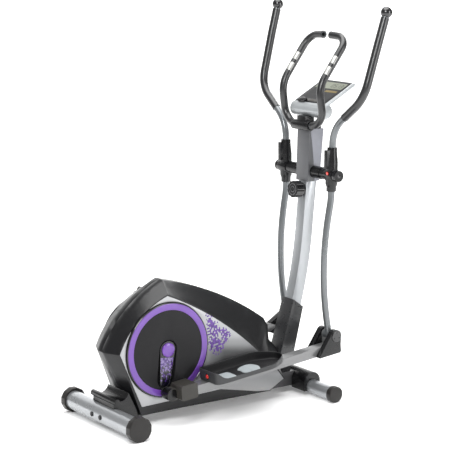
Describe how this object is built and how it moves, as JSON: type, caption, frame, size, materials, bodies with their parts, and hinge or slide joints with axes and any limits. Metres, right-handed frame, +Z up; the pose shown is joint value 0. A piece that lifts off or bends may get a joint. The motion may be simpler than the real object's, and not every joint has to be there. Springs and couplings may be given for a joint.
{
  "type": "elliptical trainer",
  "caption": "Free-standing elliptical cross trainer: foot platforms on long links between a rear crank and swinging arms, with a flywheel casing, console and fixed bar.",
  "frame": {"origin": "middle of the footprint box, on the floor", "axes": "+X forward from the casing to the mast, +Y to the user's left, +Z up"},
  "size_m": [1.1922, 0.7188, 1.5838],
  "materials": {
    "frame_steel": "satin powder coat",
    "silver_paint": "silver paint",
    "foot_tube": "silver paint",
    "casing_black": "satin moulded plastic",
    "panel_silver": "brushed silver",
    "trim_black": "satin moulded plastic",
    "boot_grey": "satin moulded plastic",
    "cover_grey": "satin painted plastic",
    "disc_black": "semi-gloss",
    "crank_steel": "black paint",
    "chrome": "bright plated",
    "bearing_steel": "ground steel",
    "iron": "machined rim",
    "pulley_plastic": "moulded",
    "belt": "ribbed",
    "magnet_steel": "plated",
    "foam": "closed cell foam",
    "knob_gloss": "polished",
    "console_silver": "silver painted plastic",
    "screen": "clear",
    "key_rubber": "soft",
    "cap_grey": "satin moulded plastic",
    "tray_black": "textured plastic"
  },
  "bodies": {
    "frame": {"main_frame": "frame_steel", "rear_stabilizer": "foot_tube", "front_stabilizer": "foot_tube", "stabilizer_bolts": "chrome", "rear_neck_cover": "trim_black", "front_neck_cover": "trim_black", "mast": "silver_paint", "mast_boot": "boot_grey", "mast_cover_rear": "boot_grey", "mast_cover_front": "cover_grey", "casing_left": "casing_black", "casing_right": "casing_black", "side_panels": "panel_silver", "crank_bearings": "bearing_steel", "flywheel_axle": "bearing_steel", "drive_belt": "belt", "tension_base": "trim_black", "handle_axle": "trim_black", "fixed_handlebar": "silver_paint", "fixed_grips": "foam", "pulse_sensors": "chrome", "handlebar_clamp": "trim_black", "console_body": "console_silver", "console_screen": "screen"},
    "crankset": {"crank_axle": "bearing_steel", "drive_pulley": "pulley_plastic", "crank_left": "crank_steel", "crank_right": "crank_steel", "crank_disc_left": "disc_black", "crank_disc_right": "disc_black"},
    "flywheel": {"flywheel": "iron"},
    "magnet": {"magnet_carrier": "magnet_steel"},
    "tension": {"tension_knob": "knob_gloss"},
    "arm_left": {"lower_arm_left": "silver_paint", "arm_hub_left": "trim_black", "upper_arm_left": "silver_paint", "arm_grip_left": "foam", "arm_knob_left": "knob_gloss"},
    "pedal_left": {"pedal_tube_left": "foot_tube", "pedal_bearing_left": "cap_grey", "pedal_pins_left": "chrome", "foot_tray_left": "tray_black", "joint_cover_left": "trim_black"},
    "rear_cap_left": {"rear_leveller_left": "cap_grey"},
    "roller_left": {"front_roller_left": "cap_grey"},
    "arm_right": {"lower_arm_right": "silver_paint", "arm_hub_right": "trim_black", "upper_arm_right": "silver_paint", "arm_grip_right": "foam", "arm_knob_right": "knob_gloss"},
    "pedal_right": {"pedal_tube_right": "foot_tube", "pedal_bearing_right": "cap_grey", "pedal_pins_right": "chrome", "foot_tray_right": "tray_black", "joint_cover_right": "trim_black"},
    "rear_cap_right": {"rear_leveller_right": "cap_grey"},
    "roller_right": {"front_roller_right": "cap_grey"},
    "key_1": {"console_key_1": "key_rubber"},
    "key_2": {"console_key_2": "key_rubber"},
    "key_3": {"console_key_3": "key_rubber"}
  },
  "joints": [
    {"name": "crank_turn", "type": "hinge", "parent": "frame", "child": "crankset", "pos_m": [-0.31908, 0, 0.286], "axis": [0, 1, 0], "continuous": true},
    {"name": "flywheel_turn", "type": "hinge", "parent": "frame", "child": "flywheel", "pos_m": [0.05092, 0, 0.196], "axis": [0, 1, 0], "continuous": true},
    {"name": "arm_left_swing", "type": "hinge", "parent": "frame", "child": "arm_left", "pos_m": [0.43504, 0.15, 0.904], "axis": [0, 1, 0], "range_deg": [-14, 14]},
    {"name": "arm_right_swing", "type": "hinge", "parent": "frame", "child": "arm_right", "pos_m": [0.43504, -0.15, 0.904], "axis": [0, 1, 0], "range_deg": [-14, 14]},
    {"name": "pedal_left_pivot", "type": "hinge", "parent": "arm_left", "child": "pedal_left", "pos_m": [0.44816, 0.15, 0.24913], "axis": [0, 1, 0], "range_deg": [-14, 14]},
    {"name": "pedal_right_pivot", "type": "hinge", "parent": "arm_right", "child": "pedal_right", "pos_m": [0.42965, -0.15, 0.24902], "axis": [0, 1, 0], "range_deg": [-14, 14]},
    {"name": "tension_turn", "type": "hinge", "parent": "frame", "child": "tension", "pos_m": [0.40349, 0, 0.83018], "axis": [-0.9962, 0, 0.0872], "range_deg": [0, 280]},
    {"name": "magnet_swing", "type": "hinge", "parent": "frame", "child": "magnet", "pos_m": [-0.04781, 0, 0.253], "axis": [0, 1, 0], "range_deg": [0, 1]},
    {"name": "rear_cap_left_turn", "type": "hinge", "parent": "frame", "child": "rear_cap_left", "pos_m": [-0.55108, 0.24, 0.048], "axis": [0, 1, 0], "continuous": true},
    {"name": "roller_left_turn", "type": "hinge", "parent": "frame", "child": "roller_left", "pos_m": [0.36592, 0.268, 0.033], "axis": [0, 1, 0], "continuous": true},
    {"name": "rear_cap_right_turn", "type": "hinge", "parent": "frame", "child": "rear_cap_right", "pos_m": [-0.55108, -0.24, 0.048], "axis": [0, 1, 0], "continuous": true},
    {"name": "roller_right_turn", "type": "hinge", "parent": "frame", "child": "roller_right", "pos_m": [0.36592, -0.268, 0.033], "axis": [0, 1, 0], "continuous": true},
    {"name": "key_1_press", "type": "slide", "parent": "frame", "child": "key_1", "axis": [0.4695, 0, -0.8829], "range_m": [0, 0.0015], "stiffness_N_per_m": 400, "springref_m": -0.0005},
    {"name": "key_2_press", "type": "slide", "parent": "frame", "child": "key_2", "axis": [0.4695, 0, -0.8829], "range_m": [0, 0.0015], "stiffness_N_per_m": 400, "springref_m": -0.0005},
    {"name": "key_3_press", "type": "slide", "parent": "frame", "child": "key_3", "axis": [0.4695, 0, -0.8829], "range_m": [0, 0.0015], "stiffness_N_per_m": 400, "springref_m": -0.0005}
  ],
  "couplings": [
    {"joint": "flywheel_turn", "follows": "crank_turn", "ratio": 5.6},
    {"joint": "arm_right_swing", "follows": "arm_left_swing", "ratio": -1},
    {"joint": "pedal_left_pivot", "follows": "arm_left_swing", "ratio": -1},
    {"joint": "pedal_right_pivot", "follows": "arm_left_swing", "ratio": 1},
    {"joint": "magnet_swing", "follows": "tension_turn", "ratio": 0.00357}
  ]
}
